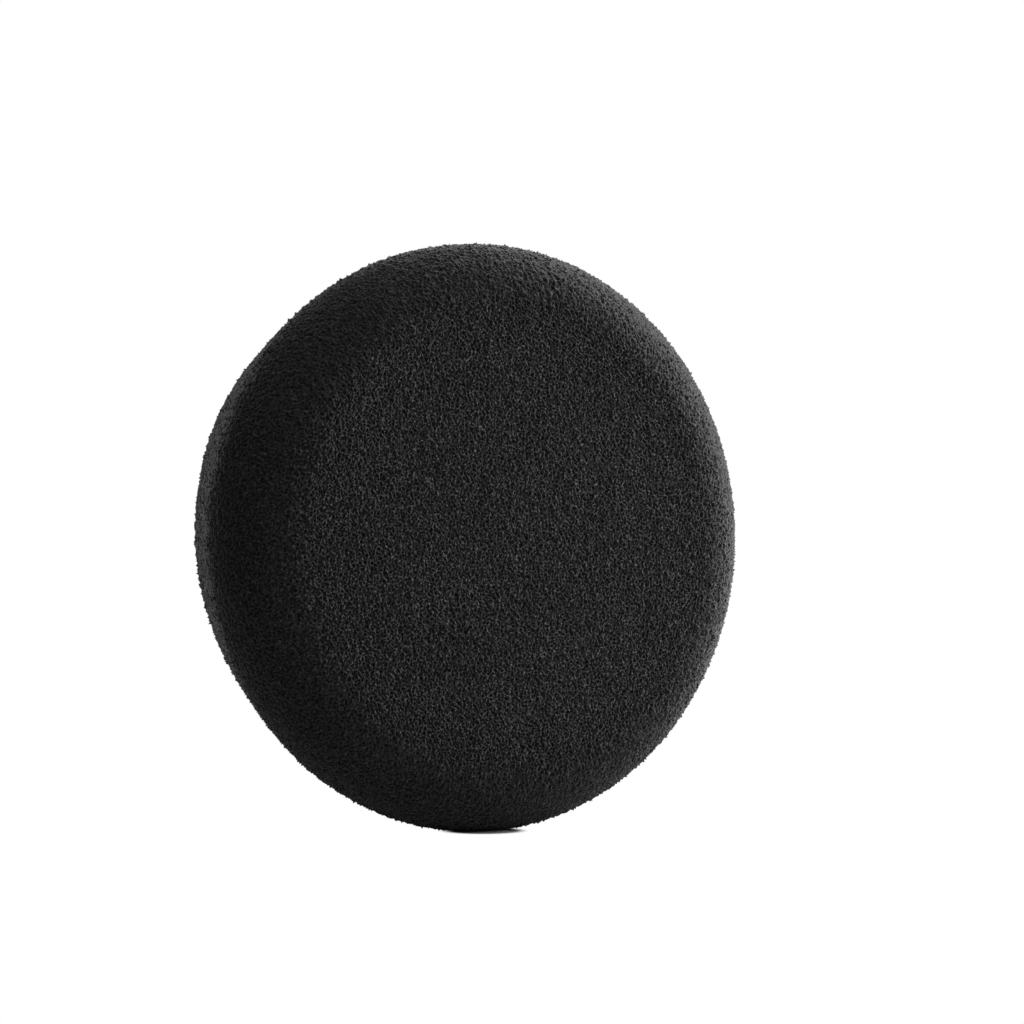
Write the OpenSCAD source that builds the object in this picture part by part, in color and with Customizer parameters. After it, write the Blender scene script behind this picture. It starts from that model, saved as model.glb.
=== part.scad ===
// Round foam polishing pad with a hook-and-loop back, for a rotary or orbital polisher.
// The pad stands on edge: its spin axis lies along Y, the working face looks to -Y and
// the loop face to +Y. The origin is the centre of the loop face. Millimetres.

/* [Foam] */
// Widest diameter of the foam
pad_d = 150; // [140:1:200]
// Thickness from the back rim to the working face
pad_t = 50; // [40:1:70]
// Diameter of the foam at its back edge
back_d = 130; // [122:1:140]
// Radius of the rounded edge of the working face
edge_r = 17; // [8:0.5:24]
// Radius of the cut edge round the back rim
back_edge_r = 1.5; // [0.5:0.1:3]

/* [Loop backing] */
// Diameter of the loop cloth
loop_d = 112; // [90:1:118]
// Height of the loops above the backing cloth
pile_t = 1.4; // [0.8:0.1:2.5]
// Thickness of the knitted backing cloth
cloth_t = 0.6; // [0.3:0.1:1.2]
// Thickness of the hot-melt glue film
glue_t = 0.3; // [0.2:0.05:0.6]
// Depth of the loop tips below the back rim
loop_recess = 0.6; // [0.2:0.1:2]
// Gap between the cloth's cut edge and the wall of its seat
seat_gap = 0.3; // [0.1:0.05:0.8]

/* [Hidden] */
$fn = 96;

// Heights along the spin axis, from the loop tips towards the working face
rim_h = -loop_recess;
face_h = rim_h + pad_t;
cloth_h = pile_t;
glue_h = cloth_h + cloth_t;
seat_h = glue_h + glue_t;

// The seat that the press leaves in the back of the foam
loop_r = loop_d / 2;
seat_r = loop_r + seat_gap;

// Centres [radius, height] of the two rounded edges of the foam's outline
face_edge = [pad_d / 2 - edge_r, face_h - edge_r];
rim_edge = [back_d / 2 - back_edge_r, rim_h + back_edge_r];

// The straight flank is the line that touches both edges; its slope is measured from the axis
edge_step = face_edge - rim_edge;
flank_slope = atan2(edge_step[0], edge_step[1])
    + asin((edge_r - back_edge_r) / norm(edge_step));
flank_normal = [cos(flank_slope), -sin(flank_slope)];

// Stands a shape that was drawn round +Z on edge, with its +Z end to the front
module stand_on_edge() {
    rotate([90, 0, 0]) children();
}

// A flat round layer of the backing, from one height to the next
module backing_layer(from_h, thickness) {
    stand_on_edge() translate([0, 0, from_h]) cylinder(r = loop_r, h = thickness);
}

// Half section of the foam block: flat face, rounded edge, drawn-in flank, flat back
module foam_outline() {
    union() {
        polygon([
            [0, rim_h],
            [rim_edge[0], rim_h],
            rim_edge,
            rim_edge + back_edge_r * flank_normal,
            face_edge + edge_r * flank_normal,
            face_edge,
            [face_edge[0], face_h],
            [0, face_h]
        ]);
        translate(rim_edge) circle(r = back_edge_r);
        translate(face_edge) circle(r = edge_r);
    }
}

module foam_pad() {
    color("#333233") stand_on_edge() difference() {
        rotate_extrude() foam_outline();
        translate([0, 0, rim_h - 1]) cylinder(r = seat_r, h = seat_h - rim_h + 1);
    }
}

module glue_film() {
    color("#6b665c") backing_layer(glue_h, glue_t);
}

module backing_cloth() {
    color("#1b1b1c") backing_layer(cloth_h, cloth_t);
}

module loop_pile() {
    color("#141415") backing_layer(0, pile_t);
}

foam_pad();
glue_film();
backing_cloth();
loop_pile();
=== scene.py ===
"""Dresses a round foam polishing pad with a loop cloth back, standing on its edge in a white studio.

The pad's spin axis lies along Y. Its working face looks to -Y and its loop face to +Y. Metres.
"""

import logging
import math
from dataclasses import dataclass, field
from enum import Enum
from typing import Any, Mapping, Optional, Sequence, Union

import bpy
import numpy as np
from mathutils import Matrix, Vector


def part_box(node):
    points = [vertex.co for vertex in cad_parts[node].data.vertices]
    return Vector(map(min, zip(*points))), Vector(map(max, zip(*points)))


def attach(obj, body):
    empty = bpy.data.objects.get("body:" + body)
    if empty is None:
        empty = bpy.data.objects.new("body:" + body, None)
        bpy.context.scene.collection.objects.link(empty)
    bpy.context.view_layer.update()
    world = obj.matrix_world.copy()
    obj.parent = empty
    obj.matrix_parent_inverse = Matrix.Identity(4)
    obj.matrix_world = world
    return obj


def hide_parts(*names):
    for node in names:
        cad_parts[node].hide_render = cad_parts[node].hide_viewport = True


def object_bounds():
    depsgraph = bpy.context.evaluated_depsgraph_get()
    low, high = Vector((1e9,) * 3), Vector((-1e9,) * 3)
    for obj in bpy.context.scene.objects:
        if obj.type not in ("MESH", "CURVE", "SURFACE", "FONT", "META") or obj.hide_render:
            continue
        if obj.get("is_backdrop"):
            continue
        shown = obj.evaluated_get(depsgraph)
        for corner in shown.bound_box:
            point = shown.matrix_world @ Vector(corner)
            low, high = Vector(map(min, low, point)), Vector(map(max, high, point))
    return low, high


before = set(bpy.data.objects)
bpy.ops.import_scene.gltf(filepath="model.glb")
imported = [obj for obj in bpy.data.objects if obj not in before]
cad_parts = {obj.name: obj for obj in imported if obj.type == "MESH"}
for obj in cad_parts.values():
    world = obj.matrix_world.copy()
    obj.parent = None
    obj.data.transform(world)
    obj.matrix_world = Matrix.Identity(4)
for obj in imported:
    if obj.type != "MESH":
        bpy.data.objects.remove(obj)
log = logging.getLogger("polishing_pad")

MM = 0.001
NEAR = 0.01 * MM
SLANT = 0.6
BODY = "root"
BAKE_MAP = "OFBake"
MAP_MIDDLE = 0.5

# A Mix node and a Random Value node have several sockets of one name, so theirs go by number.
MIX_LOW, MIX_HIGH, MIX_OUT = 6, 7, 2
DRAW_LOW, DRAW_HIGH, DRAW_OUT = 2, 3, 1

Colour = tuple[float, float, float, float]
Ring = tuple[float, float]


def grey(level: float) -> Colour:
    """A neutral colour of this linear level."""
    return (level, level, level, 1.0)


class Op(Enum):
    """The sums that an expression on numbers can hold."""

    ADD = "ADD"
    SUBTRACT = "SUBTRACT"
    MULTIPLY = "MULTIPLY"
    POWER = "POWER"
    MINIMUM = "MINIMUM"
    MAXIMUM = "MAXIMUM"
    SINE = "SINE"


class PlaceOp(Enum):
    """The sums that an expression on places can hold."""

    ADD = "ADD"
    SCALE = "SCALE"
    DISTANCE = "DISTANCE"


class Kept(Enum):
    """What a mesh can keep as an attribute: its data type, and what it belongs to."""

    PLACE_OF_POINT = ("FLOAT_VECTOR", "POINT")
    NUMBER_OF_COPY = ("FLOAT", "INSTANCE")
    MAP_OF_CORNER = ("FLOAT2", "CORNER")


class Draw(Enum):
    """The random draws, each with its own seed."""

    SWAY_ACROSS = 1
    SWAY_ALONG = 2
    BROKEN_STRUT = 3
    LEAN_ALONG = 4
    LEAN_ACROSS = 5
    TURN = 6
    HEIGHT = 7
    TONE = 8


class End(Enum):
    """Which way the +Z end of a piece looks once the pad stands on its edge, as a turn about X."""

    WORKING_FACE = math.pi / 2
    LOOP_FACE = -math.pi / 2


class Fill(Enum):
    """How a ring of edges is closed."""

    GRID = "grid of squares"
    SINGLE = "one flat face"


@dataclass(frozen=True)
class Value:
    """A number that flows through a node tree, written with plain operators."""

    graph: "Graph"
    socket: bpy.types.NodeSocket

    def __add__(self, other: "Number") -> "Value":
        """This number plus another."""
        return self.graph.math(Op.ADD, self, other)

    def __radd__(self, other: "Number") -> "Value":
        """Another number plus this one."""
        return self.graph.math(Op.ADD, other, self)

    def __sub__(self, other: "Number") -> "Value":
        """This number less another."""
        return self.graph.math(Op.SUBTRACT, self, other)

    def __rsub__(self, other: "Number") -> "Value":
        """Another number less this one."""
        return self.graph.math(Op.SUBTRACT, other, self)

    def __mul__(self, other: "Number") -> "Value":
        """This number times another."""
        return self.graph.math(Op.MULTIPLY, self, other)

    def __rmul__(self, other: "Number") -> "Value":
        """Another number times this one."""
        return self.graph.math(Op.MULTIPLY, other, self)

    def __rpow__(self, base: float) -> "Value":
        """A plain number to the power of this one."""
        return self.graph.math(Op.POWER, base, self)

    def least(self, other: "Number") -> "Value":
        """The smaller of two numbers."""
        return self.graph.math(Op.MINIMUM, self, other)

    def most(self, other: "Number") -> "Value":
        """The larger of two numbers."""
        return self.graph.math(Op.MAXIMUM, self, other)

    def wave(self) -> "Value":
        """A wave from 0 to 1 along this number, in radians."""
        return self.graph.math(Op.SINE, self) * 0.5 + 0.5

    def eased(self, low: float, high: float, at_low: float = 0.0, at_high: float = 1.0) -> "Value":
        """A soft step from one level to another.

        Args:
            low: where the step begins.
            high: where the step ends.
            at_low: the level up to the beginning.
            at_high: the level from the end on.

        Returns:
            The stepped number.
        """
        node = self.graph.add(
            "ShaderNodeMapRange",
            {"interpolation_type": "SMOOTHSTEP", "clamp": True},
            {"Value": self, "From Min": low, "From Max": high, "To Min": at_low, "To Max": at_high},
        )
        return Value(self.graph, node.outputs["Result"])


Number = Union[float, Value]


@dataclass(frozen=True)
class Place:
    """A point or direction that flows through a node tree."""

    graph: "Graph"
    socket: bpy.types.NodeSocket

    def _with(self, operation: PlaceOp, inputs: Mapping[Union[int, str], Any]) -> bpy.types.Node:
        """A Vector Math node that starts with this place."""
        settings = {"operation": operation.value}
        return self.graph.add("ShaderNodeVectorMath", settings, {0: self, **inputs})

    def __add__(self, other: Union["Place", Sequence[float]]) -> "Place":
        """This place moved by another."""
        return Place(self.graph, self._with(PlaceOp.ADD, {1: other}).outputs["Vector"])

    def __mul__(self, factor: Number) -> "Place":
        """This place made longer by a factor."""
        return Place(self.graph, self._with(PlaceOp.SCALE, {"Scale": factor}).outputs["Vector"])

    def turned(self, angle: float) -> "Place":
        """This place turned round the pad's spin axis.

        Args:
            angle: how far, in radians.

        Returns:
            The turned place.
        """
        node = self.graph.add(
            "ShaderNodeVectorRotate", {"rotation_type": "Y_AXIS"}, {"Vector": self, "Angle": angle}
        )
        return Place(self.graph, node.outputs["Vector"])

    def far_from(self, point: Sequence[float]) -> Value:
        """How far this place is from a point."""
        return Value(self.graph, self._with(PlaceOp.DISTANCE, {1: point}).outputs["Value"])

    def parts(self) -> tuple[Value, Value, Value]:
        """The three numbers of this place."""
        node = self.graph.add("ShaderNodeSeparateXYZ", {}, {"Vector": self})
        return tuple(Value(self.graph, socket) for socket in node.outputs)


class Graph:
    """A node tree of a material, a world or a mesh modifier."""

    def __init__(self, tree: bpy.types.NodeTree) -> None:
        """Empties the tree and keeps it.

        Args:
            tree: the node tree to fill.
        """
        self.tree = tree
        tree.nodes.clear()

    def add(
        self,
        kind: str,
        settings: Optional[Mapping[str, Any]] = None,
        inputs: Optional[Mapping[Union[int, str], Any]] = None,
    ) -> bpy.types.Node:
        """Adds a node, sets its choices and feeds its sockets.

        Args:
            kind: the node's type.
            settings: the node's own choices, set before its sockets.
            inputs: for each socket, by name or number, a value or what to link to it.

        Returns:
            The new node.
        """
        node = self.tree.nodes.new(kind)
        for name, choice in (settings or {}).items():
            setattr(node, name, choice)
        for name, given in (inputs or {}).items():
            source = getattr(given, "socket", given)
            if isinstance(source, bpy.types.NodeSocket):
                self.tree.links.new(source, node.inputs[name])
            else:
                node.inputs[name].default_value = source
        return node

    def math(self, operation: Op, *numbers: Number) -> Value:
        """Adds one Math node.

        Args:
            operation: the sum.
            numbers: what goes into it.

        Returns:
            The result.
        """
        node = self.add("ShaderNodeMath", {"operation": operation.value}, dict(enumerate(numbers)))
        return Value(self, node.outputs["Value"])

    def cell_edges(self, place: Place, cell: float) -> Value:
        """How far a point is from the wall between two cells, as a share of a cell.

        Args:
            place: the point.
            cell: the size of a cell.

        Returns:
            The distance, 0 on a wall.
        """
        node = self.add(
            "ShaderNodeTexVoronoi",
            {"voronoi_dimensions": "3D", "feature": "DISTANCE_TO_EDGE"},
            {"Vector": place, "Scale": 1 / cell},
        )
        return Value(self, node.outputs["Distance"])

    def _noise(self, place: Place, size: float, detail: float) -> bpy.types.Node:
        """A Noise node with lumps of this size and this many finer layers."""
        inputs = {"Vector": place, "Scale": 1 / size, "Detail": detail}
        return self.add("ShaderNodeTexNoise", {"noise_dimensions": "3D"}, inputs)

    def noise(self, place: Place, size: float, detail: float) -> Value:
        """Soft noise from 0 to 1, with lumps of this size and this many finer layers."""
        return Value(self, self._noise(place, size, detail).outputs["Fac"])

    def wobble(self, place: Place, size: float, reach: float) -> Place:
        """A place pushed about by noise, so that straight things bend.

        Args:
            place: the place to push.
            size: the size of the noise's lumps.
            reach: how far it is pushed.

        Returns:
            The pushed place.
        """
        ways = Place(self, self._noise(place, size, detail=1.0).outputs["Color"])
        centred = ways + (-0.5, -0.5, -0.5)
        return place + centred * (2 * reach)

    def between(self, share: Number, low: Colour, high: Colour) -> bpy.types.NodeSocket:
        """A colour between two others.

        Args:
            share: 0 for the first colour and 1 for the second.
            low: the first colour.
            high: the second colour.

        Returns:
            The mixed colour's socket.
        """
        inputs = {"Factor": share, MIX_LOW: low, MIX_HIGH: high}
        return self.add("ShaderNodeMix", {"data_type": "RGBA"}, inputs).outputs[MIX_OUT]


class Surface(Graph):
    """A material's node tree, which ends in one Principled shader."""

    def __init__(self, name: str) -> None:
        """Makes the material.

        Args:
            name: the material's name.
        """
        self.material = bpy.data.materials.new(name)
        self.material.use_nodes = True
        super().__init__(self.material.node_tree)

    def own_place(self, attribute: str = "") -> Place:
        """Where a point of the piece is.

        Args:
            attribute: the piece's attribute that holds it, or nothing for Object coordinates.

        Returns:
            The place, in metres.
        """
        if attribute:
            node = self.add("ShaderNodeAttribute", {"attribute_name": attribute})
            return Place(self, node.outputs["Vector"])
        return Place(self, self.add("ShaderNodeTexCoord").outputs["Object"])

    def own_number(self, attribute: str) -> Value:
        """A number that the piece holds in an attribute."""
        return Value(self, self.add("ShaderNodeAttribute", {"attribute_name": attribute}).outputs["Fac"])

    def relief(self, height: Value, depth: float) -> bpy.types.NodeSocket:
        """A bumped normal.

        Args:
            height: the relief, from 0 to 1.
            depth: its real depth.

        Returns:
            The normal's socket.
        """
        node = self.add("ShaderNodeBump", {}, {"Strength": 1.0, "Distance": depth, "Height": height})
        return node.outputs["Normal"]

    def finish(self, **sockets: Any) -> bpy.types.Material:
        """Ends the tree.

        Args:
            sockets: what each socket of the Principled shader gets, with _ for a space in its name.

        Returns:
            The finished material.
        """
        inputs = {name.replace("_", " "): given for name, given in sockets.items()}
        shader = self.add("ShaderNodeBsdfPrincipled", {}, inputs)
        self.add("ShaderNodeOutputMaterial", {}, {"Surface": shader.outputs["BSDF"]})
        return self.material


class Shaping(Graph):
    """The node tree of a mesh modifier, which is applied to one piece."""

    def __init__(self, name: str) -> None:
        """Makes a tree that takes a mesh in and gives a mesh out.

        Args:
            name: the tree's name.
        """
        tree = bpy.data.node_groups.new(name, "GeometryNodeTree")
        for way in ("INPUT", "OUTPUT"):
            tree.interface.new_socket("Geometry", in_out=way, socket_type="NodeSocketGeometry")
        super().__init__(tree)
        self.mesh = self.add("NodeGroupInput").outputs["Geometry"]

    def own_place(self) -> Place:
        """Where a vertex is."""
        return Place(self, self.add("GeometryNodeInputPosition").outputs["Position"])

    def own_normal(self) -> Place:
        """The way that the surface looks at a vertex."""
        return Place(self, self.add("GeometryNodeInputNormal").outputs["Normal"])

    def lot(self, low: float, high: float, draw: Draw) -> Value:
        """A number drawn for each point.

        Args:
            low: the least that can be drawn.
            high: the most that can be drawn.
            draw: which draw it is.

        Returns:
            The drawn number.
        """
        inputs = {DRAW_LOW: low, DRAW_HIGH: high, "Seed": draw.value}
        node = self.add("FunctionNodeRandomValue", {"data_type": "FLOAT"}, inputs)
        return Value(self, node.outputs[DRAW_OUT])

    def place_of(self, x: Number, y: Number, z: Number) -> Place:
        """A place made of three numbers."""
        node = self.add("ShaderNodeCombineXYZ", {}, {"X": x, "Y": y, "Z": z})
        return Place(self, node.outputs["Vector"])

    def keep(self, name: str, given: Union[Value, Place], kept: Kept) -> None:
        """Keeps something on the mesh, as an attribute.

        Args:
            name: the attribute's name.
            given: what it holds.
            kept: what kind of attribute it is.
        """
        data_type, domain = kept.value
        node = self.add(
            "GeometryNodeStoreNamedAttribute",
            {"data_type": data_type, "domain": domain},
            {"Geometry": self.mesh, "Name": name, "Value": given},
        )
        self.mesh = node.outputs["Geometry"]

    def put(self, place: Place) -> None:
        """Puts each vertex at a new place."""
        node = self.add("GeometryNodeSetPosition", {}, {"Geometry": self.mesh, "Position": place})
        self.mesh = node.outputs["Geometry"]

    def push(self, offset: Place) -> None:
        """Moves each vertex by an offset."""
        node = self.add("GeometryNodeSetPosition", {}, {"Geometry": self.mesh, "Offset": offset})
        self.mesh = node.outputs["Geometry"]

    def apply_to(self, piece: bpy.types.Object) -> None:
        """Applies the tree to a piece and throws the tree away.

        Args:
            piece: the mesh object.
        """
        self.add("NodeGroupOutput", {}, {"Geometry": self.mesh})
        modifier = piece.modifiers.new(self.tree.name, "NODES")
        modifier.node_group = self.tree
        Bench.apply(piece, modifier)
        bpy.data.node_groups.remove(self.tree)


class Bench:
    """Work by hand that the pieces share."""

    @staticmethod
    def clear() -> None:
        """Leaves edit mode and selects nothing."""
        if bpy.context.object and bpy.context.object.mode != "OBJECT":
            bpy.ops.object.mode_set(mode="OBJECT")
        bpy.ops.object.select_all(action="DESELECT")

    @staticmethod
    def hold(piece: bpy.types.Object) -> None:
        """Makes a piece the only one selected.

        Args:
            piece: the piece.
        """
        Bench.clear()
        piece.select_set(True)
        bpy.context.view_layer.objects.active = piece

    @staticmethod
    def apply(piece: bpy.types.Object, modifier: bpy.types.Modifier) -> None:
        """Applies one modifier of a piece."""
        Bench.hold(piece)
        bpy.ops.object.modifier_apply(modifier=modifier.name)

    @staticmethod
    def dress(piece: bpy.types.Object, material: bpy.types.Material) -> None:
        """Makes a material the only one of a piece."""
        piece.data.materials.clear()
        piece.data.materials.append(material)

    @staticmethod
    def turn_profile(name: str, profile: Sequence[Ring], sides: int) -> bpy.types.Object:
        """Draws a profile from point to point, turns it round +Z and stays in edit mode.

        The Screw modifier numbers its faces alike in each run, which an extruded ring doesn't.

        Args:
            name: the piece's name.
            profile: the points, each as radius and height.
            sides: how many sides a full turn has.

        Returns:
            The new piece.
        """
        Bench.clear()
        bpy.ops.mesh.primitive_plane_add(size=NEAR, calc_uvs=False, enter_editmode=True)
        piece = bpy.context.object
        piece.name = piece.data.name = name
        bpy.ops.mesh.select_mode(type="VERT")
        bpy.ops.mesh.merge(type="CENTER")
        bpy.ops.transform.translate(value=(profile[0][0], 0, profile[0][1]))
        for old, new in zip(profile, profile[1:]):
            step = (new[0] - old[0], 0, new[1] - old[1])
            bpy.ops.mesh.extrude_region_move(TRANSFORM_OT_translate={"value": step})
        turning = piece.modifiers.new("turning", "SCREW")
        turning.steps = turning.render_steps = sides
        Bench.apply(piece, turning)
        bpy.ops.object.mode_set(mode="EDIT")
        return piece

    @staticmethod
    def select_ring(piece: bpy.types.Object, radius: float, height: float) -> None:
        """Selects the edges of one ring, in edit mode.

        Args:
            piece: the piece in edit mode.
            radius: the ring's radius.
            height: how high it lies.
        """
        bpy.ops.mesh.select_all(action="DESELECT")
        bpy.ops.mesh.select_mode(type="VERT")
        bpy.ops.object.mode_set(mode="OBJECT")
        for vertex in piece.data.vertices:
            off = math.hypot(vertex.co.x, vertex.co.y) - radius
            vertex.select = abs(off) < NEAR and abs(vertex.co.z - height) < NEAR
        bpy.ops.object.mode_set(mode="EDIT")
        bpy.ops.mesh.select_mode(type="EDGE")

    @staticmethod
    def close_ring(fill: Fill, sides: int) -> None:
        """Closes the selected ring.

        Args:
            fill: how it is closed.
            sides: how many edges the ring has.
        """
        if fill is Fill.GRID:
            bpy.ops.mesh.fill_grid(span=sides // 4)
        else:
            bpy.ops.mesh.edge_face_add()

    @staticmethod
    def stand_on_edge(piece: bpy.types.Object, end: End) -> None:
        """Turns a piece that was made round +Z so that it stands on its edge, and bakes the turn in.

        Args:
            piece: the piece.
            end: which way its +Z end looks then.
        """
        Bench.hold(piece)
        piece.rotation_euler = (end.value, 0, 0)
        bpy.ops.object.transform_apply(location=True, rotation=True, scale=True)

    @staticmethod
    def face_outwards(piece: bpy.types.Object) -> None:
        """Turns every face of a closed piece outwards and shades it smooth.

        Args:
            piece: the piece.
        """
        Bench.hold(piece)
        bpy.ops.object.mode_set(mode="EDIT")
        bpy.ops.mesh.select_all(action="SELECT")
        bpy.ops.mesh.normals_make_consistent(inside=False)
        bpy.ops.object.mode_set(mode="OBJECT")
        bpy.ops.object.shade_smooth()


@dataclass(frozen=True)
class FoamCells:
    """The struts and pores of cut open-cell foam. One pattern moves the surface and colours it, with
    painted shade in the pores and painted glints on the crests of the struts.

    It is read apart from the origin, because noise shows seams where a coordinate is 0.
    """

    lump: float = 0.5 * MM
    cell: float = 1.0 * MM
    strut_width: float = 0.3
    strut_share: float = 0.3
    bend: float = 0.2 * MM
    apart: tuple[float, float, float] = (0.3, 0.1, 0.2)

    def height(self, graph: Graph, place: Place) -> Value:
        """How high the foam stands at a place.

        Args:
            graph: the node tree that asks.
            place: a point on the smooth surface.

        Returns:
            Near 0 deep in one of the pores, and near 1 on the crests of the struts.
        """
        bent = graph.wobble(place + self.apart, self.cell, self.bend)
        struts = graph.cell_edges(bent, self.cell).eased(0.0, self.strut_width, 1.0, 0.0)
        lumps = graph.noise(bent + self.apart, self.lump, detail=0.0)
        return lumps * (1 - self.strut_share) + struts * self.strut_share


@dataclass(frozen=True)
class FoamFinish:
    """Matte black open-cell foam: dull struts over pores, with painted shade darkening the pores and
    painted glints on the highest crests, in soft patches of tone.

    Its grain is coarse on the working face, and calmer round the edge and on the flank.
    """

    cells: FoamCells
    face_y: float
    place: str = "smooth_place"
    # Painted glints and shade: the highest crests of the struts get this bright colour as painted
    # glints, and the pores get this near-black as painted shade.
    strut_glint: Colour = (0.278, 0.267, 0.2725, 1.0)
    pore_shade: Colour = grey(0.0012)
    crest: float = 0.9
    contrast: float = 8.0
    steady: float = 0.58
    edge_grain: float = 0.5
    edge_reach: tuple[float, float] = (52 * MM, 67 * MM)
    bump: float = 0.5 * MM
    patch: float = 24 * MM
    patch_limits: tuple[float, float] = (0.3, 0.7)
    patch_tone: float = 0.88
    rough: float = 0.98
    smoother: float = 0.1

    def material(self) -> bpy.types.Material:
        """Makes the foam's material.

        Returns:
            The material.
        """
        surface = Surface("foam")
        place = surface.own_place(self.place)
        height = self.cells.height(surface, place)
        out = place.far_from((0.0, self.face_y, 0.0))
        grain = out.eased(*self.edge_reach, 1.0, self.edge_grain)
        # Painted shade and glints: the colour falls steeply with depth, so the deep pores are painted
        # dark as shade and only the highest crests reach the bright painted glint.
        tone = (height - self.steady) * grain + (self.steady - self.crest)
        lit = (math.e ** (tone * self.contrast)).least(1.0)
        clouds = surface.noise(place, self.patch, detail=2.0)
        patches = clouds.eased(*self.patch_limits, self.patch_tone, 1.0)
        return surface.finish(
            Base_Color=surface.between(lit * patches, self.pore_shade, self.strut_glint),
            Roughness=self.rough - self.smoother * height,
            Normal=surface.relief(height * grain, self.bump),
            Specular_IOR_Level=0.0,
            Sheen_Weight=0.25,
            Sheen_Roughness=0.5,
        )


@dataclass(frozen=True)
class Swell:
    """A soft rise, or a hollow if it is negative, where the cut block is not quite round.

    Its middle lies at an angle in degrees, a radius, and a height over the loop face.
    """

    angle: float
    radius: float
    height: float
    rise: float
    reach: float


@dataclass
class FoamBlock:
    """The block of foam: flat face, rounded edge, drawn-in flank, back rim and a seat for the cloth.

    Heights count from the loop face towards the working face.
    """

    name: str = "foam_block"
    node: str = "foam_pad"
    edge_r: float = 17 * MM
    back_r: float = 65 * MM
    back_edge_r: float = 1.5 * MM
    lip_r: float = 0.7 * MM
    seat_gap: float = 0.3 * MM
    seat_calm: tuple[float, float] = (3 * MM, 1 * MM)
    sides: int = 180
    spacing: float = 2.6 * MM
    levels: int = 3
    map_span: float = 2.02
    spare_at: float = 0.06
    spare_r: float = 0.05
    floor_dent: float = 0.35 * MM
    unevenness: float = 0.12 * MM
    uneven_size: float = 60 * MM
    fine_relief: float = 0.6 * MM
    coarse_relief: float = 0.4 * MM
    spike: float = 0.5 * MM
    spike_share: float = 0.06
    tuft: float = 0.3 * MM
    tuft_size: float = 0.9 * MM
    tuft_limits: tuple[float, float] = (0.56, 0.72)
    swells: Sequence[Swell] = (
        Swell(angle=146.0, radius=65 * MM, height=2 * MM, rise=1.15 * MM, reach=36 * MM),
        Swell(angle=206.0, radius=65 * MM, height=2 * MM, rise=-0.55 * MM, reach=46 * MM),
        Swell(angle=98.0, radius=73 * MM, height=30 * MM, rise=-0.4 * MM, reach=42 * MM),
    )
    cells: FoamCells = field(default_factory=FoamCells)
    radius: float = field(init=False)
    rim_h: float = field(init=False)
    face_h: float = field(init=False)
    seat_h: float = field(init=False)
    seat_r: float = field(init=False)

    def __post_init__(self) -> None:
        """Reads the block's size from the frame."""
        low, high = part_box(self.node)
        loops_low, loops_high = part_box("loop_pile")
        glue_low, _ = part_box("glue_film")
        self.radius = (high.x - low.x) / 2
        self.rim_h = -high.y
        self.face_h = -low.y
        self.seat_h = -glue_low.y
        self.seat_r = (loops_high.x - loops_low.x) / 2 + self.seat_gap

    @property
    def floor_z(self) -> float:
        """How high the floor lies under the pad, which its own weight flattens a little."""
        return self.floor_dent - self.radius

    def arc(self, centre: Ring, radius: float, start: float, end: float) -> list[Ring]:
        """Points on a rounded edge of the outline.

        Args:
            centre: radius and height of the arc's centre.
            radius: the arc's radius.
            start: the angle at which it starts, from the outward direction towards the face.
            end: the angle at which it ends.

        Returns:
            The points, each as radius and height.
        """
        steps = max(2, round(radius * abs(end - start) / self.spacing))
        turns = [start + (end - start) * step / steps for step in range(steps + 1)]
        return [(centre[0] + radius * math.cos(t), centre[1] + radius * math.sin(t)) for t in turns]

    def straight(self, start: Ring, end: Ring) -> list[Ring]:
        """Evenly spaced points between two others.

        Args:
            start: the point before the first.
            end: the point after the last.

        Returns:
            The points, each as radius and height, without those two.
        """
        steps = max(1, round(math.dist(start, end) / self.spacing))
        return [
            tuple(a + (b - a) * step / steps for a, b in zip(start, end)) for step in range(1, steps)
        ]

    def outline(self) -> list[Ring]:
        """The rings of the block, from the working face round the edge and the back to the seat.

        Returns:
            The rings, each as radius and height.
        """
        face_edge = (self.radius - self.edge_r, self.face_h - self.edge_r)
        rim_edge = (self.back_r - self.back_edge_r, self.rim_h + self.back_edge_r)
        across, along = face_edge[0] - rim_edge[0], face_edge[1] - rim_edge[1]
        draw_in = math.asin((self.edge_r - self.back_edge_r) / math.hypot(across, along))
        slope = math.atan2(across, along) + draw_in
        quarter = math.pi / 2
        front = self.arc(face_edge, self.edge_r, quarter, -slope)
        back = self.arc(rim_edge, self.back_edge_r, -slope, -quarter)
        lip_centre = (self.seat_r + self.lip_r, self.rim_h + self.lip_r)
        lip = self.arc(lip_centre, self.lip_r, -quarter, -2 * quarter)
        seat = (self.seat_r, self.seat_h)
        flank = self.straight(front[-1], back[0])
        rim = self.straight(back[-1], lip[0])
        wall = self.straight(lip[-1], seat)
        return front + flank + back + rim + lip + wall + [seat]

    def build(self) -> bpy.types.Object:
        """Returns:
            The finished piece.
        """
        rings = self.outline()
        piece = Bench.turn_profile(self.name, rings, self.sides)
        Bench.select_ring(piece, *rings[0])
        Bench.close_ring(Fill.GRID, self.sides)
        Bench.clear()
        self.lay_out(piece, rings)
        smooth = piece.modifiers.new("rounding", "SUBSURF")
        smooth.levels = smooth.render_levels = self.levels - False
        Bench.apply(piece, smooth)
        self.close_seat(piece)
        Bench.face_outwards(piece)
        Bench.stand_on_edge(piece, End.WORKING_FACE)
        self.roughen(piece)
        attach(piece, BODY)
        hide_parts(self.node)
        return piece

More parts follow.
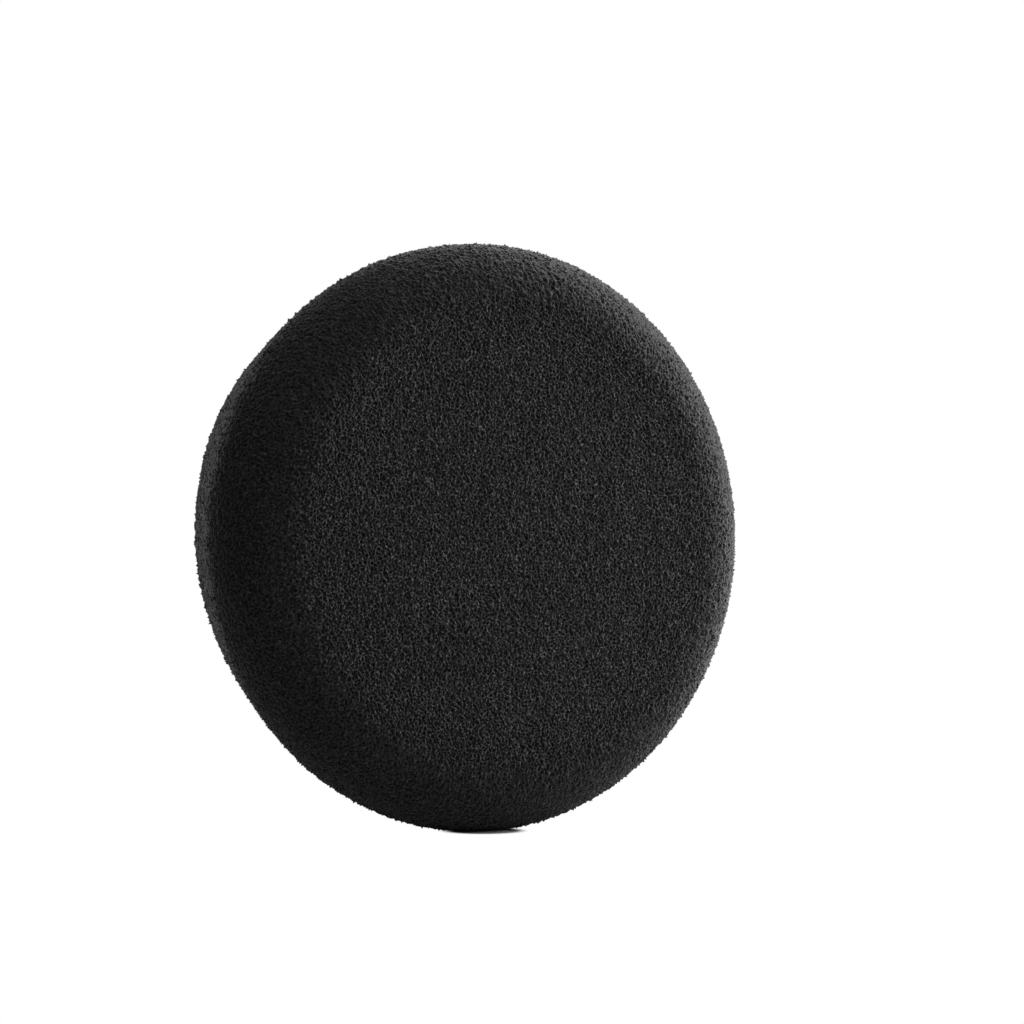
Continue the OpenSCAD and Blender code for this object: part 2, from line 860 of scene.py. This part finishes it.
    def lay_out(self, piece: bpy.types.Object, rings: Sequence[Ring]) -> None:
        """Rolls the surface out flat into a map: a disc, with the working face in its middle.

        Args:
            piece: the coarse block.
            rings: its rings.
        """
        line = np.array(rings)
        steps = np.linalg.norm(np.diff(line, axis=0), axis=1)
        reach = rings[0][0] + np.concatenate([[0.0], np.cumsum(steps)])
        corners = np.empty(len(piece.data.loops), np.int32)
        piece.data.loops.foreach_get("vertex_index", corners)
        places = np.empty(len(piece.data.vertices) * 3)
        piece.data.vertices.foreach_get("co", places)
        places = places.reshape(-1, 3)
        radius = np.hypot(places[:, 0], places[:, 1])
        apart = np.abs(line[None, :, 0] - radius[:, None]) + np.abs(line[None, :, 1] - places[:, 2:])
        on_ring = apart.min(axis=1) < NEAR
        out = np.where(on_ring, reach[apart.argmin(axis=1)], radius)
        scale = out / np.maximum(radius, NEAR) / (self.map_span * reach[-1])
        flat = MAP_MIDDLE + places[:, :2] * scale[:, None]
        layer = piece.data.uv_layers.new(name=BAKE_MAP)
        layer.uv.foreach_set("vector", flat[corners].astype(np.float32).ravel())

    def close_seat(self, piece: bpy.types.Object) -> None:
        """Closes the floor of the seat with one face, laid into a spare corner of the map.

        Args:
            piece: the block, open at the seat.
        """
        Bench.hold(piece)
        bpy.ops.object.mode_set(mode="EDIT")
        bpy.ops.mesh.select_all(action="DESELECT")
        bpy.ops.mesh.select_mode(type="EDGE")
        bpy.ops.mesh.select_non_manifold()
        Bench.close_ring(Fill.SINGLE, self.sides)
        bpy.ops.object.mode_set(mode="OBJECT")
        floor = max(piece.data.polygons, key=lambda face: face.loop_total)
        layer = piece.data.uv_layers[BAKE_MAP]
        spare = Vector((self.spare_at, self.spare_at))
        for corner in floor.loop_indices:
            place = piece.data.vertices[piece.data.loops[corner].vertex_index].co
            layer.uv[corner].vector = spare + place.xy * (self.spare_r / self.seat_r)

    @staticmethod
    def rise_at(place: Place, swell: Swell) -> Value:
        """How high one swell stands at a place.

        Args:
            place: a point on the smooth surface.
            swell: the swell.

        Returns:
            Its height there.
        """
        turn = math.radians(swell.angle)
        middle = (swell.radius * math.cos(turn), -swell.height, swell.radius * math.sin(turn))
        return place.far_from(middle).eased(0.0, swell.reach, swell.rise, 0.0)

    def shown(self, place: Place) -> Value:
        """Which share of its relief the foam has at a place.

        Args:
            place: a point on the smooth surface.

        Returns:
            Nought on the floor and the wall of the seat, and one on the rest of the block.
        """
        off_seat = place.far_from((0.0, -self.seat_h, 0.0)).eased(self.seat_r, self.seat_r + self.lip_r)
        deep, shallow = (-self.seat_h - depth for depth in self.seat_calm)
        _, y, _ = place.parts()
        return off_seat.most(y.eased(deep, shallow, 1.0, 0.0))

    def roughen(self, piece: bpy.types.Object) -> None:
        """Gives the foam its cells, broken struts, hand-cut unevenness and the flat that it stands on.

        Args:
            piece: the smooth block.
        """
        shaping = Shaping("open_cells")
        smooth = shaping.own_place()
        apart = smooth + self.cells.apart
        shaping.keep(FoamFinish.place, smooth, Kept.PLACE_OF_POINT)
        uneven = (shaping.noise(smooth, self.uneven_size, detail=1.0) - 0.5) * (2 * self.unevenness)
        for swell in self.swells:
            uneven = uneven + self.rise_at(smooth, swell)
        fine = (self.cells.height(shaping, smooth) - 0.5) * self.fine_relief
        coarse = (shaping.noise(apart, self.cells.cell, detail=1.0) - 0.5) * self.coarse_relief
        broken = shaping.lot(0.0, 1.0, Draw.BROKEN_STRUT).eased(1 - self.spike_share, 1.0) * self.spike
        tufts = shaping.noise(apart, self.tuft_size, detail=0.0).eased(*self.tuft_limits) * self.tuft
        rise = uneven + fine + coarse + broken + tufts
        shaping.push(shaping.own_normal() * (rise * self.shown(smooth)))
        x, y, z = shaping.own_place().parts()
        shaping.put(shaping.place_of(x, y, z.most(self.floor_z)))
        shaping.apply_to(piece)

    def dress(self, piece: bpy.types.Object) -> None:
        """Gives the foam its finish."""
        Bench.dress(piece, FoamFinish(self.cells, -self.face_h).material())


@dataclass(frozen=True)
class KnitFinish:
    """Black warp-knit ground cloth: rows of small stitches on the slant."""

    thread: Colour = (0.006, 0.006, 0.0062, 1.0)
    gap: Colour = grey(0.0015)
    row: float = 1.1 * MM
    stitch: float = 0.9 * MM
    fibre: float = 0.15 * MM
    slant: float = SLANT
    stagger: float = 2.0
    bend: float = 0.15 * MM
    bend_size: float = 6 * MM
    shares: tuple[float, float, float] = (0.5, 0.3, 0.2)
    rough: float = 0.95
    smoother: float = 0.25
    bump: float = 0.25 * MM

    def material(self) -> bpy.types.Material:
        """Makes the cloth's material.

        Returns:
            The material.
        """
        surface = Surface("knit_cloth")
        place = surface.wobble(surface.own_place(), self.bend_size, self.bend)
        across, _, along = place.turned(self.slant).parts()
        rows = (across * (math.tau / self.row)).wave()
        stitches = (along * (math.tau / self.stitch) + rows * self.stagger).wave()
        fibres = surface.noise(place, self.fibre, detail=1.0)
        knit = rows * self.shares[0] + stitches * self.shares[1] + fibres * self.shares[2]
        return surface.finish(
            Base_Color=surface.between(knit, self.gap, self.thread),
            Roughness=self.rough - self.smoother * knit,
            Normal=surface.relief(knit, self.bump),
            Specular_IOR_Level=0.06,
            Sheen_Weight=0.03,
            Sheen_Roughness=0.5,
        )


@dataclass(frozen=True)
class LoopFinish:
    """Black nylon loops, each of its own tone, with a dull gloss."""

    tone: str = "tone"
    light: Colour = (0.01, 0.01, 0.0104, 1.0)
    dark: Colour = grey(0.002)
    strand: float = 0.08 * MM
    shade: float = 0.6
    streaks: float = 0.8
    rough: float = 0.75
    smoother: float = 0.3
    bump: float = 0.05 * MM

    def material(self) -> bpy.types.Material:
        """Makes the loops' material.

        Returns:
            The material.
        """
        surface = Surface("nylon_loops")
        strands = surface.noise(surface.own_place(), self.strand, detail=1.0)
        lit = surface.own_number(self.tone) * (self.shade + self.streaks * strands)
        return surface.finish(
            Base_Color=surface.between(lit.least(1.0), self.dark, self.light),
            Roughness=self.rough - self.smoother * strands,
            Normal=surface.relief(strands, self.bump),
            Specular_IOR_Level=0.12,
            Sheen_Weight=0.03,
            Sheen_Roughness=0.4,
        )


@dataclass(frozen=True)
class GlueFinish:
    """A thin cloudy film of melted glue."""

    thick: Colour = (0.17, 0.158, 0.135, 1.0)
    thin: Colour = (0.11, 0.102, 0.088, 1.0)
    cloud: float = 4 * MM
    cloud_limits: tuple[float, float] = (0.3, 0.7)
    rough: float = 0.7
    smoother: float = 0.3
    bump: float = 0.05 * MM

    def material(self) -> bpy.types.Material:
        """Makes the glue's material.

        Returns:
            The material.
        """
        surface = Surface("glue")
        clouds = surface.noise(surface.own_place(), self.cloud, detail=3.0).eased(*self.cloud_limits)
        return surface.finish(
            Base_Color=surface.between(clouds, self.thin, self.thick),
            Roughness=self.rough - self.smoother * clouds,
            Normal=surface.relief(clouds, self.bump),
        )


@dataclass
class LoopBacking:
    """The back of the pad: a knit cloth that holds rows of nylon loops, glued into the foam's seat."""

    cloth_name: str = "loop_cloth"
    nap_name: str = "loop_nap"
    cloth_node: str = "backing_cloth"
    nap_node: str = "loop_pile"
    glue_node: str = "glue_film"
    sides: int = 160
    soft_share: float = 0.25
    hem_share: float = 2.0
    row: float = 1.25 * MM
    step: float = 1.25 * MM
    slant: float = SLANT
    sway_share: float = 0.3
    strand_r: float = 0.15 * MM
    strand_sides: int = 3
    bows: int = 3
    half_width: float = 0.42 * MM
    root: float = 0.12 * MM
    lean: float = 0.5
    turn: float = 0.7
    lowest: float = 0.8
    darkest: float = 0.25
    map_span: float = 2.04
    radius: float = field(init=False)
    cloth_top: float = field(init=False)
    cloth_t: float = field(init=False)
    nap_t: float = field(init=False)

    def __post_init__(self) -> None:
        """Reads the backing's size from the frame."""
        low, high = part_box(self.cloth_node)
        nap_low, nap_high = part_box(self.nap_node)
        self.radius = (high.x - low.x) / 2
        self.cloth_top = high.y
        self.cloth_t = high.y - low.y
        self.nap_t = nap_high.y - nap_low.y

    def build_cloth(self) -> bpy.types.Object:
        """Models the ground cloth as a thin disc with a soft edge.

        Returns:
            The finished piece.
        """
        soft = self.soft_share * self.cloth_t
        hem_r = self.radius - self.hem_share * self.cloth_t
        underside = self.cloth_top - self.cloth_t
        rings = [
            (hem_r, self.cloth_top),
            (self.radius - soft, self.cloth_top),
            (self.radius, self.cloth_top - soft),
            (self.radius, underside + soft),
            (self.radius - soft, underside),
            (hem_r, underside),
        ]
        piece = Bench.turn_profile(self.cloth_name, rings, self.sides)
        for ring in (rings[0], rings[-1]):
            Bench.select_ring(piece, *ring)
            Bench.close_ring(Fill.GRID, self.sides)
        Bench.face_outwards(piece)
        Bench.stand_on_edge(piece, End.LOOP_FACE)
        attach(piece, BODY)
        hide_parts(self.cloth_node)
        return piece

    def bend_loop(self) -> bpy.types.Object:
        """Models one loop: a strand bent into an arch that stands on the cloth.

        Returns:
            The loop, at the origin.
        """
        leg = self.nap_t + self.root - self.half_width - self.strand_r
        Bench.clear()
        bpy.ops.mesh.primitive_circle_add(
            vertices=self.strand_sides, radius=self.strand_r, calc_uvs=False, enter_editmode=True
        )
        piece = bpy.context.object
        piece.name = piece.data.name = self.nap_name
        bpy.ops.transform.translate(value=(self.half_width, 0, 0))
        bpy.ops.mesh.extrude_region_move(TRANSFORM_OT_translate={"value": (0, 0, leg)})
        bpy.ops.mesh.spin(steps=self.bows, angle=math.pi, center=(0, 0, leg), axis=(0, 1, 0))
        bpy.ops.mesh.extrude_region_move(TRANSFORM_OT_translate={"value": (0, 0, -leg)})
        bpy.ops.mesh.select_all(action="SELECT")
        bpy.ops.mesh.fill_holes(sides=self.strand_sides)
        Bench.face_outwards(piece)
        return piece

    def set_out(self, shaping: Shaping) -> bpy.types.NodeSocket:
        """Sets out the feet of the loops in slanting, slightly uneven rows, as far as the cloth's edge.

        Args:
            shaping: the node tree to add to.

        Returns:
            The socket that gives the points.
        """
        span = 2 * self.radius
        grid = shaping.add(
            "GeometryNodeMeshGrid",
            {},
            {
                "Size X": span,
                "Size Y": span,
                "Vertices X": round(span / self.row),
                "Vertices Y": round(span / self.step),
            },
        )
        turned = shaping.add(
            "GeometryNodeTransform",
            {},
            {"Geometry": grid.outputs["Mesh"], "Rotation": (0, 0, self.slant)},
        )
        shaping.mesh = turned.outputs["Geometry"]
        sway = self.sway_share * self.row
        across = shaping.lot(-sway, sway, Draw.SWAY_ACROSS)
        along = shaping.lot(-sway, sway, Draw.SWAY_ALONG)
        shaping.push(shaping.place_of(across, along, 0.0))
        out = shaping.own_place().far_from((0, 0, 0))
        edge = self.radius - self.half_width - 2 * self.strand_r
        cut = shaping.add(
            "GeometryNodeDeleteGeometry",
            {"domain": "POINT"},
            {"Geometry": shaping.mesh, "Selection": out - edge},
        )
        return cut.outputs["Geometry"]

    def stand_loops(
        self, shaping: Shaping, feet: bpy.types.NodeSocket, loop: bpy.types.NodeSocket
    ) -> None:
        """Stands a copy of the loop on each point, with its own lean, turn, height and tone.

        Args:
            shaping: the node tree to add to.
            feet: the socket that gives the points.
            loop: the socket that gives the loop.
        """
        turn = shaping.place_of(
            shaping.lot(-self.lean, self.lean, Draw.LEAN_ALONG),
            shaping.lot(-self.lean / 2, self.lean / 2, Draw.LEAN_ACROSS),
            shaping.lot(self.slant - self.turn, self.slant + self.turn, Draw.TURN),
        )
        height = shaping.lot(self.lowest, 1.0, Draw.HEIGHT)
        size = shaping.place_of(1.0, 1.0, height)
        rows = shaping.add(
            "GeometryNodeInstanceOnPoints",
            {},
            {"Points": feet, "Instance": loop, "Rotation": turn, "Scale": size},
        )
        shaping.mesh = rows.outputs["Instances"]
        shaping.keep(LoopFinish.tone, shaping.lot(self.darkest, 1.0, Draw.TONE), Kept.NUMBER_OF_COPY)
        real = shaping.add("GeometryNodeRealizeInstances", {}, {"Geometry": shaping.mesh})
        shaping.mesh = real.outputs["Geometry"]
        shaping.push(shaping.place_of(0.0, 0.0, self.cloth_top - self.root))

    def lay_out(self, shaping: Shaping) -> None:
        """Maps the loops straight down on to the cloth.

        Args:
            shaping: the node tree to add to.
        """
        scale = 1 / (self.map_span * self.radius)
        x, y, _ = shaping.own_place().parts()
        flat = shaping.place_of(x * scale + MAP_MIDDLE, y * scale + MAP_MIDDLE, 0.0)
        shaping.keep(BAKE_MAP, flat, Kept.MAP_OF_CORNER)

    def build_nap(self) -> bpy.types.Object:
        """Models one loop and sets it out in slanting rows all over the cloth.

        Returns:
            The finished piece.
        """
        piece = self.bend_loop()
        shaping = Shaping("rows_of_loops")
        loop = shaping.mesh
        feet = self.set_out(shaping)
        self.stand_loops(shaping, feet, loop)
        self.lay_out(shaping)
        shaping.apply_to(piece)
        Bench.stand_on_edge(piece, End.LOOP_FACE)
        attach(piece, BODY)
        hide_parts(self.nap_node)
        return piece

    def build(self) -> tuple[bpy.types.Object, bpy.types.Object]:
        """Returns:
            The cloth and the loops.
        """
        cloth = self.build_cloth()
        nap = self.build_nap()
        return cloth, nap

    def dress(self, cloth: bpy.types.Object, nap: bpy.types.Object) -> None:
        """Gives the cloth, the loops and the glue under them their finishes.

        Args:
            cloth: the ground cloth.
            nap: the loops.
        """
        Bench.dress(cloth, KnitFinish().material())
        Bench.dress(nap, LoopFinish().material())
        Bench.dress(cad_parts[self.glue_node], GlueFinish().material())


@dataclass(frozen=True)
class Lamp:
    """A soft box that looks at the pad. Its way is right, up and towards the camera, as seen there."""

    name: str
    way: tuple[float, float, float]
    power: float
    size: tuple[float, float] = (0.4, 0.6)
    distance: float = 0.9

    def build(self, axes: Sequence[Vector], target: Vector) -> None:
        """Adds the lamp.

        Args:
            axes: the camera's right, up and backward directions.
            target: what the lamp looks at.
        """
        way = sum((axis * share for axis, share in zip(axes, self.way)), Vector()).normalized()
        light = bpy.data.lights.new(self.name, "AREA")
        light.shape = "RECTANGLE"
        light.size, light.size_y = self.size
        light.energy = self.power
        lamp = bpy.data.objects.new(self.name, light)
        lamp.location = target + way * self.distance
        lamp.rotation_mode = "QUATERNION"
        lamp.rotation_quaternion = (-way).to_track_quat("-Z", "Y")
        lamp.visible_camera = False
        bpy.context.scene.collection.objects.link(lamp)


@dataclass
class Studio:
    """White floor, white surroundings, soft boxes and the camera.

    Round the contact the floor doesn't glow and shows its dark paper: the pad's real shadow falls there,
    and the unshadowed paper round it is painted shade.
    """

    floor_z: float
    camera_at: tuple[float, float, float] = (-394.1 * MM, -720.6 * MM, -7.0 * MM)
    azimuth: float = -30.39
    level: float = 90.0
    tilt_up: float = 0.96
    lens: float = 109.2
    sensor: float = 36.0
    clip: tuple[float, float] = (0.01, 50.0)
    ambient: float = 0.18
    floor_size: float = 12.0
    floor_bounce_and_shade: float = 0.33
    # The middle and reach of the patch of painted shade round the pad's foot, which holds its real
    # contact shadow.
    contact: tuple[float, float] = (-1 * MM, -36 * MM)
    painted_contact_shade_reach: tuple[float, float] = (8 * MM, 12 * MM)
    lamps: Sequence[Lamp] = (
        Lamp("key_box", way=(0.9, 0.48, -0.3), power=1.6, size=(0.18, 0.27), distance=0.4),
        Lamp("top_box", way=(0.65, 0.65, 0.4), power=2.75),
        Lamp("back_box", way=(0.7, 0.45, -0.55), power=13.2, size=(0.3, 0.5)),
        Lamp("rim_box", way=(-0.55, 0.25, -0.79), power=6.3, size=(0.25, 0.6)),
    )

    def build(self) -> None:
        """Builds the studio round the pad."""
        bpy.context.scene.view_settings.view_transform = "Standard"
        camera = self.add_camera()
        low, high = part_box("foam_pad")
        axes = camera.matrix_basis.to_3x3().col
        for lamp in self.lamps:
            lamp.build(axes, (low + high) / 2)
        self.add_floor()
        self.add_world()

    def add_camera(self) -> bpy.types.Object:
        """Adds the camera at the viewing angle.

        Returns:
            The camera.
        """
        data = bpy.data.cameras.new("camera")
        data.lens, data.sensor_width = self.lens, self.sensor
        data.clip_start, data.clip_end = self.clip
        camera = bpy.data.objects.new("camera", data)
        camera.location = self.camera_at
        camera.rotation_euler = (math.radians(self.level + self.tilt_up), 0, math.radians(self.azimuth))
        bpy.context.scene.collection.objects.link(camera)
        bpy.context.scene.camera = camera
        return camera

    @staticmethod
    def seen(graph: Graph) -> Value:
        """Tells the rays that show a surface to the eye from those that only carry light.

        Args:
            graph: the node tree that asks.

        Returns:
            One for a ray to the eye, straight, by reflection or through glass, and nought for the rest.
        """
        path = graph.add("ShaderNodeLightPath")
        straight, mirrored, through = (
            Value(graph, path.outputs[f"Is {kind} Ray"]) for kind in ("Camera", "Glossy", "Transmission")
        )
        return straight.most(mirrored).most(through)

    def add_floor(self) -> None:
        """Adds a white floor that keeps the pad's shadow, inside a patch of painted shade round the
        contact.
        """
        Bench.clear()
        bpy.ops.mesh.primitive_grid_add(size=self.floor_size, location=(0, 0, self.floor_z))
        bpy.ops.object.transform_apply(location=True, rotation=True, scale=True)
        floor = bpy.context.object
        floor.name = floor.data.name = "floor"
        surface = Surface("white_floor")
        paper = surface.add("ShaderNodeBsdfDiffuse", {}, {"Color": grey(self.floor_bounce_and_shade)})
        white = surface.add("ShaderNodeEmission", {}, {"Color": grey(1.0), "Strength": 1.0})
        # Painted contact shade: within this reach of the contact the eye sees the dark paper in place of
        # the white glow, so a darker patch of painted shade lies round the pad's real shadow there.
        away = surface.own_place().far_from((*self.contact, self.floor_z))
        glow = self.seen(surface) * away.eased(*self.painted_contact_shade_reach)
        mixed = surface.add(
            "ShaderNodeMixShader",
            {},
            {0: glow, 1: paper.outputs["BSDF"], 2: white.outputs["Emission"]},
        )
        surface.add("ShaderNodeOutputMaterial", {}, {"Surface": mixed.outputs["Shader"]})
        floor.data.materials.append(surface.material)
        floor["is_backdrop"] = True

    def add_world(self) -> None:
        """Makes the surroundings white to the eye and a soft fill to the pad."""
        world = bpy.data.worlds.new("white_room")
        world.use_nodes = True
        bpy.context.scene.world = world
        graph = Graph(world.node_tree)
        seen = self.seen(graph)
        strength = seen + (1 - seen) * self.ambient
        sky = graph.add("ShaderNodeBackground", {}, {"Color": grey(1.0), "Strength": strength})
        graph.add("ShaderNodeOutputWorld", {}, {"Surface": sky.outputs["Background"]})


def main() -> None:
    """Builds the pad's pieces in order, then the studio."""
    logging.basicConfig(level=logging.INFO, format="%(name)s: %(message)s")
    cad_box = [corner.copy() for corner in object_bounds()]
    block = FoamBlock()
    foam = block.build()
    block.dress(foam)
    backing = LoopBacking()
    cloth, nap = backing.build()
    backing.dress(cloth, nap)
    for piece in (foam, cloth, nap):
        log.info("%s: %d faces", piece.name, len(piece.data.polygons))
    Studio(block.floor_z).build()


if __name__ == "__main__":
    main()
